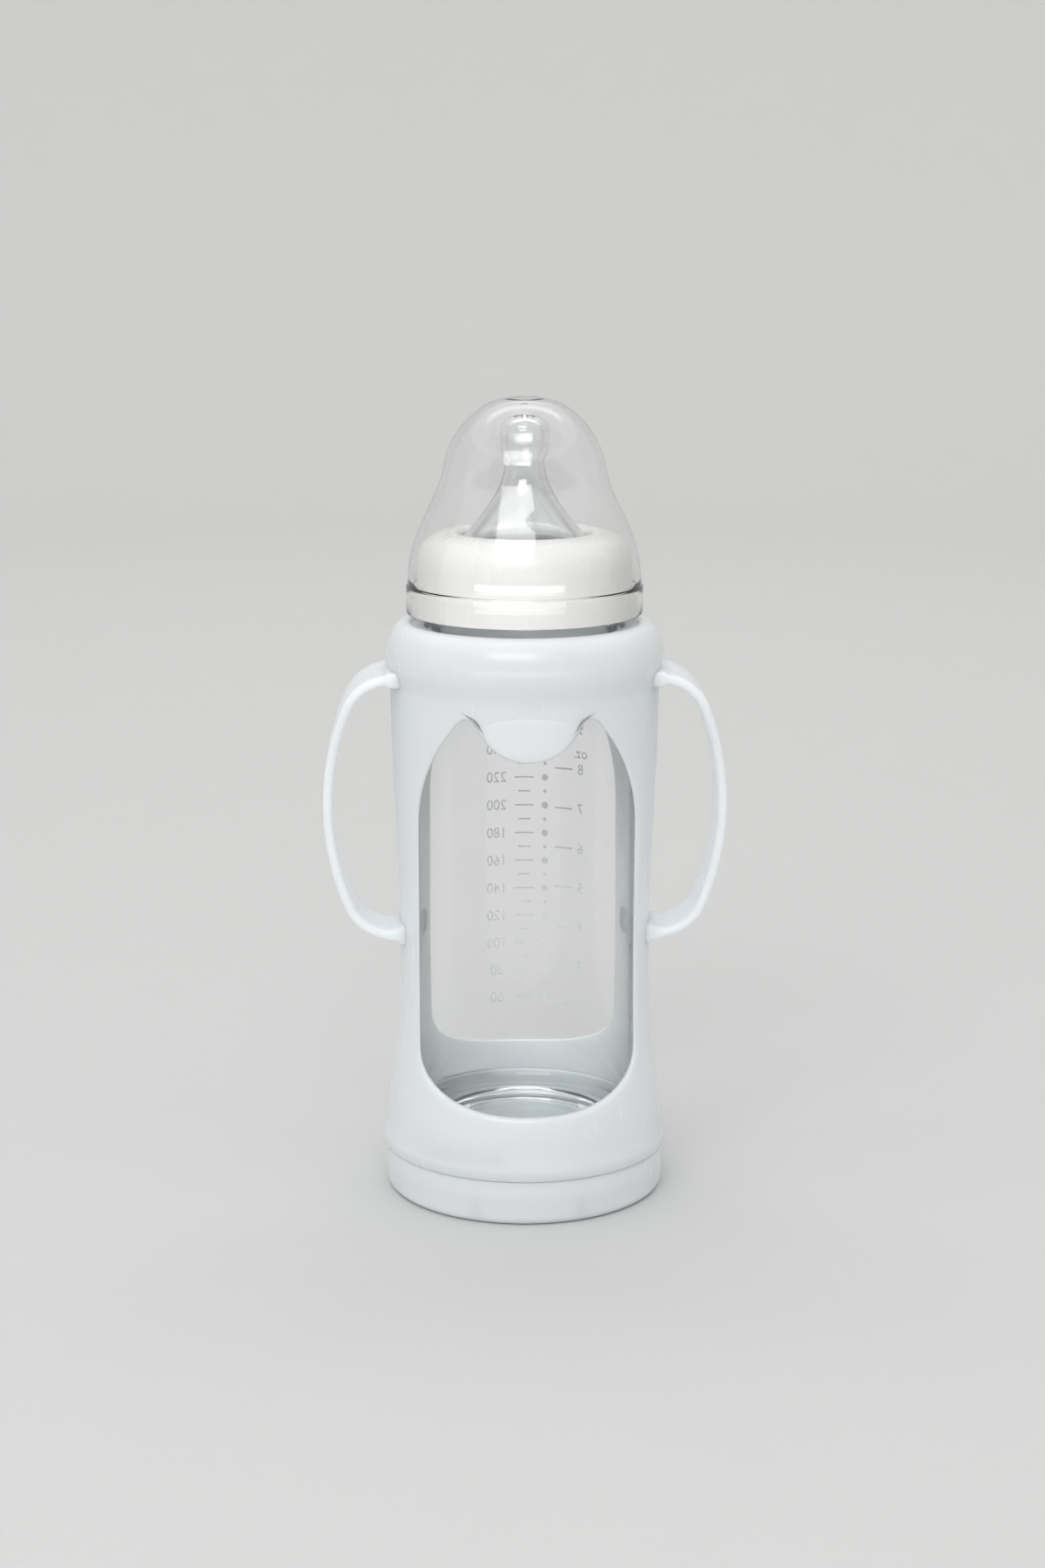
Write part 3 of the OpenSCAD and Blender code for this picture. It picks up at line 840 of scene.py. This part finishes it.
base_outline = [(0, 1.15), (1.4, 1.15)] + arc(1.9, 1.05, 0.25, 180, 270, 2)
base_outline += [(RECESS_R - 0.6, RECESS)] + arc(RECESS_R + 0.3, RECESS - 0.3, 0.3, 90, 0, 3)
base_outline += arc(RECESS_R + 0.9, 0.3, 0.3, 180, 270, 3)
base_outline += arc(base_foot_r - BASE_FOOT_ROUND, BASE_FOOT_ROUND, BASE_FOOT_ROUND, 270, 355, 12)
base_outline += straight((base_foot_r + 0.1, 4.5), (base_r, BASE_H - 0.7), 6)
base_outline += arc(base_r - 0.45, BASE_H - 0.6, 0.45, 0, 90, 4)
base_outline += arc(spigot_r + 0.3, PART_Z + 0.3, 0.3, 270, 180, 3)
base_outline += arc(spigot_r - 0.4, spigot_top_z - 0.4, 0.4, 0, 90, 3)
base_outline += arc(spigot_r - SPIGOT_WALL + 0.4, spigot_top_z - 0.4, 0.4, 90, 180, 3)
base_outline += [(spigot_r - SPIGOT_WALL, BASE_H - 3), (base_r - BASE_WALL, BASE_H - 5.5)]
base_outline += arc(base_foot_r - BASE_WALL - 1.5, BASE_FLOOR + 1.5, 1.5, 0, -90, 5)
base_outline += [(SEAT_R + SEAT_WALL, BASE_FLOOR)]
base_outline += arc(SEAT_R + SEAT_WALL - 0.4, SEAT_Z - 0.4, 0.4, 0, 90, 3)
base_outline += arc(SEAT_R + 0.4, SEAT_Z - 0.4, 0.4, 90, 180, 3)
base_outline += [(SEAT_R, BASE_FLOOR), (0, BASE_FLOOR)]
base_turned = turned("base_turned", base_outline)

fittings = []
for n in range(RIB_COUNT):
    half_turn = RIB_T / 2 / SEAT_R
    turn = math.tau * (n + 0.5) / RIB_COUNT
    fittings.append(block_ring("rib", SEAT_R + SEAT_WALL - 0.5, base_foot_r - BASE_WALL + 0.5,
                               BASE_FLOOR - 0.8, RIB_H, turn - half_turn, turn + half_turn, 2))
for n in range(LUG_COUNT):
    turn = math.tau * n / LUG_COUNT
    fittings.append(block_ring("lug", spigot_r - 0.6, skirt_in_r - 0.4, lug_z, lug_z + 2,
                               turn - LUG_TURN / 2, turn + LUG_TURN / 2, 8))
base_shell = join("base_cap_shell", base_turned, *fittings)
finish_piece(base_shell, "base", "base_cap", white_plastic)

# --- Teat --------------------------------------------------------------------------------
# Soft clear silicone: a round tip with a small hole, a bell that flares to the collar's
# mouth and a flat flange, which the collar clamps on the neck of the glass.

teat_low, teat_high = box_mm("teat")
tip_z, flange_z = teat_high.z, teat_low.z
flange_r = teat_high.x
TEAT_WALL = 1.6
TIP_R, TIP_ROUND = 6.4, 4.2
TIP_HOLE = 0.5
FLANGE_T = 1.8
ROOT_R = 16.6
nape_z = tip_z - 12.3
root_z = collar_high.z - 2
tip_low_z = tip_z - 9.4

bell = bow((TIP_R - 1.25, nape_z), (TIP_R - 0.95, nape_z - 8),
           (ROOT_R - 5.5, root_z + 7), (ROOT_R, root_z), 26)
inner_tip_r = TIP_R - TEAT_WALL - 0.2
teat_outline = arc(TIP_HOLE + 0.3, tip_z - 0.3, 0.3, 180, 90, 3)
teat_outline += arc(TIP_R - TIP_ROUND, tip_z - TIP_ROUND, TIP_ROUND, 90, 0, 12)
teat_outline += bow((TIP_R, tip_z - 7), (TIP_R, tip_low_z - 1.4), (TIP_R - 1.3, nape_z + 1.8), bell[0], 12)
teat_outline += bell[1:] + [(ROOT_R, flange_z + FLANGE_T + 0.3)]
teat_outline += [(ROOT_R + 0.4, flange_z + FLANGE_T), (flange_r - 0.4, flange_z + FLANGE_T)]
teat_outline += arc(flange_r - 0.4, flange_z + FLANGE_T - 0.4, 0.4, 90, 0, 3)
teat_outline += arc(flange_r - 0.4, flange_z + 0.4, 0.4, 0, -90, 3)
teat_outline += [(ROOT_R - TEAT_WALL + 0.5, flange_z)]
teat_outline += to_left(bell, -TEAT_WALL)[::-1]
teat_outline += bow((bell[0][0] - TEAT_WALL, nape_z + 0.5), (inner_tip_r - 1.0, nape_z + 2),
                    (inner_tip_r, tip_low_z - 1), (inner_tip_r, tip_z - 6.5), 10)
teat_outline += arc(inner_tip_r - 3.2, tip_z - TEAT_WALL - 3.2, 3.2, 0, 90, 8)
teat_outline += [(TIP_HOLE, tip_z - TEAT_WALL)]
teat = turned("silicone_teat", teat_outline, 112)
silicone = clear_material(
    "clear_silicone", (0.985, 0.99, 0.995), 1.41, (0.965, 0.975, 0.98), Drift=0.0,
    Ripple_Height=0.00001, Ripple_Scale=500.0, Gloss_Roughness=0.06, Scuffs=0.15,
)
silicone_shader = silicone.node_tree.nodes["Principled BSDF"]
silicone_shader.inputs["Coat Weight"].default_value = 1
silicone_shader.inputs["Coat IOR"].default_value = 1.65
silicone_shader.inputs["Coat Roughness"].default_value = 0.05
finish_piece(teat, "teat_seat", "teat", silicone)

# --- Screw collar ------------------------------------------------------------------------
# A smooth warm-white ring with a rounded crown and a flange at its foot. It is moulded in
# polypropylene, threaded inside, and screws down over the teat's flange on to the glass.

collar_z, collar_top_z = collar_low.z, collar_high.z
collar_flange_r = collar_high.x
collar_r = collar_flange_r - 1.1
collar_bore_r = collar_r - 2.3
collar_mouth_r = ROOT_R + 0.5
collar_under_z = collar_top_z - 3.5
COLLAR_FLANGE_H = 7.0
flange_top = collar_z + COLLAR_FLANGE_H
collar_thread_z = collar_z + 2.2 + THREAD_PITCH / 2

collar_outline = arc(collar_bore_r + 0.3, collar_z + 0.3, 0.3, 180, 270, 3)
collar_outline += arc(collar_flange_r - 0.4, collar_z + 0.4, 0.4, 270, 360, 4)
collar_outline += arc(collar_flange_r - 0.7, flange_top - 0.7, 0.7, 0, 90, 5)
collar_outline += arc(collar_r + 0.25, flange_top + 0.25, 0.25, 270, 180, 3)
collar_outline += bow((collar_r, collar_top_z - 9.5), (collar_r + 0.1, collar_top_z - 2.4),
                      (collar_mouth_r + 7.5, collar_top_z), (collar_mouth_r + 2, collar_top_z), 28)
collar_outline += arc(collar_mouth_r + 2, collar_top_z - 2, 2, 90, 180, 8)[1:]
collar_outline += arc(collar_mouth_r + 0.3, collar_under_z + 0.3, 0.3, 180, 270, 2)
collar_outline += [(collar_bore_r - 0.6, collar_under_z)]
collar_outline += straight((collar_bore_r, collar_under_z - 0.6), (collar_bore_r, collar_z + 0.5), 68)
collar = turned("screw_collar_ring", collar_outline)
cut_thread(collar, collar_bore_r, -THREAD_DEPTH, collar_thread_z)
cream_plastic, cream_shader = skin_material(
    "warm_white_moulding", (0.80, 0.79, 0.772), Drift=0.02, Ripple_Height=0.000004,
    Ripple_Scale=260.0, Gloss_Roughness=0.24, Scuffs=0.25,
)
cream_shader.inputs["IOR"].default_value = 1.49
cream_shader.inputs["Subsurface Weight"].default_value = 0.08
cream_shader.inputs["Subsurface Radius"].default_value = (1.0, 1.0, 1.0)
cream_shader.inputs["Subsurface Scale"].default_value = 0.0015
finish_piece(collar, "collar", "screw_collar", cream_plastic)

# --- Dome cap ----------------------------------------------------------------------------
# A clear thin-walled cover of polypropylene over the teat. Its band snaps on the collar's
# flange, and the point where the plastic entered the mould is left inside its top.

cap_low, cap_high = box_mm("dome_cap")
cap_r, cap_top_z, band_z = cap_high.x, cap_high.z, cap_low.z
CAP_WALL = 1.4
cap_in_r = cap_r - CAP_WALL
cap_ledge_z = flange_top + 0.3
dome_z = tip_z - 13
DOME_R = 21.1
STEP_IN = 0.45

flare = bow((cap_r - STEP_IN, cap_ledge_z + 0.4), (cap_r - STEP_IN, cap_ledge_z + 15),
            (DOME_R + 1.9, dome_z - 11), (DOME_R, dome_z), 30)
dome = bow((DOME_R, dome_z), (DOME_R - 1.6, dome_z + 9), (DOME_R - 9, cap_top_z - 1.2),
           (5, cap_top_z - 0.2), 30)
cap_outside = flare + dome[1:]
cap_outline = arc(cap_in_r + 0.25, band_z + 0.25, 0.25, 180, 270, 3)
cap_outline += arc(cap_r - 0.35, band_z + 0.35, 0.35, 270, 360, 4)
cap_outline += arc(cap_r - 0.3, cap_ledge_z - 0.3, 0.3, 0, 80, 4)
cap_outline += cap_outside + [(2.5, cap_top_z - 0.05), (0, cap_top_z)]
cap_under_z = cap_top_z - CAP_WALL
cap_outline += [(0, cap_under_z - 0.8), (0.55, cap_under_z - 0.7), (0.9, cap_under_z)]
cap_outline += to_left(cap_outside, CAP_WALL)[::-1]
cap_outline += [(cap_r - STEP_IN - CAP_WALL, cap_ledge_z + 0.2), (cap_in_r, cap_ledge_z - 0.2)]
dome_cap = turned("dome_cap_shell", cap_outline)
clear_plastic = clear_material(
    "clear_cap_plastic", (0.995, 0.997, 0.998), 1.49, (0.985, 0.987, 0.99), Drift=0.0,
    Ripple_Height=0.00001, Ripple_Scale=90.0, Gloss_Roughness=0.03, Scuffs=0.12,
)
finish_piece(dome_cap, "cap", "dome_cap", clear_plastic)

# --- Studio ------------------------------------------------------------------------------
# A pale seamless sweep all round the bottle; a large softbox high in front, a wide strip low
# in front, fills on both sides, one lamp overhead, one for the backdrop, and the room's own
# even light.

SWEEP_FLAT, SWEEP_BEND, SWEEP_TOP = 1400.0, 700.0, 1500.0
sweep_outline = [(0, -0.02), (200, -0.02), (600, -0.02)]
sweep_outline += arc(SWEEP_FLAT, SWEEP_BEND - 0.02, SWEEP_BEND, 270, 360, 24)
sweep_outline += [(SWEEP_FLAT + SWEEP_BEND, SWEEP_TOP), (SWEEP_FLAT + SWEEP_BEND + 20, SWEEP_TOP)]
sweep_outline += [(SWEEP_FLAT + SWEEP_BEND + 20, -20), (0, -20)]
sweep = turned("studio_sweep", sweep_outline, 96)
paper, _ = skin_material(
    "pale_paper", (0.635, 0.635, 0.63), Drift=0.015, Ripple_Height=0.00002, Ripple_Scale=700.0,
    Gloss_Roughness=0.75, Scuffs=0.05,
)
sweep.data.materials.append(paper)
deselect_all()
sweep.select_set(True)
bpy.context.view_layer.objects.active = sweep
bpy.ops.object.shade_smooth_by_angle(angle=math.radians(35))


def softbox(name, place, aim, width, height, power):
    """A rectangular area light at place, aimed at a point."""
    lamp = bpy.data.lights.new(name, "AREA")
    lamp.shape = "RECTANGLE"
    lamp.size, lamp.size_y = width, height
    lamp.energy = power
    holder = bpy.data.objects.new(name, lamp)
    bpy.context.scene.collection.objects.link(holder)
    holder.location = place
    holder.rotation_euler = (Vector(aim) - Vector(place)).to_track_quat("-Z", "Y").to_euler()


bottle_middle = (0, 0, (cad_low.z + cad_high.z) / 2)
softbox("main_softbox", (-0.22, -0.92, 0.85), bottle_middle, 0.8, 0.4, 3.7)
softbox("front_strip", (-0.12, -0.95, 0.14), (0, 0, 0.19), 1.9, 0.12, 1.7)
softbox("left_fill", (-1.1, -0.3, 0.45), bottle_middle, 0.8, 0.8, 0.7)
softbox("right_fill", (1.1, -0.3, 0.45), bottle_middle, 0.8, 0.8, 0.35)
softbox("top_softbox", (-0.1, -0.1, 1.3), bottle_middle, 0.9, 0.9, 1.4)
softbox("backdrop_light", (0, 0.9, 1.6), (0, 1.8, 0.2), 2.0, 0.8, 7)

world = bpy.data.worlds.new("studio_air")
world.use_nodes = True
world.node_tree.nodes["Background"].inputs["Color"].default_value = (1, 1, 1, 1)
world.node_tree.nodes["Background"].inputs["Strength"].default_value = 0.88
bpy.context.scene.world = world
bpy.context.scene.view_settings.view_transform = "Standard"

CAMERA_PLACE = Vector((-0.0265, -0.7435, 0.2734))
CAMERA_TILT = math.radians(90 - 12.357)
CAMERA_TURN = math.radians(-2)
CAMERA_LENS = 65.66
camera_data = bpy.data.cameras.new("camera")
camera_data.lens = CAMERA_LENS
camera = bpy.data.objects.new("camera", camera_data)
camera.location = CAMERA_PLACE
camera.rotation_euler = (CAMERA_TILT, 0, CAMERA_TURN)
bpy.context.scene.collection.objects.link(camera)
bpy.context.scene.camera = camera
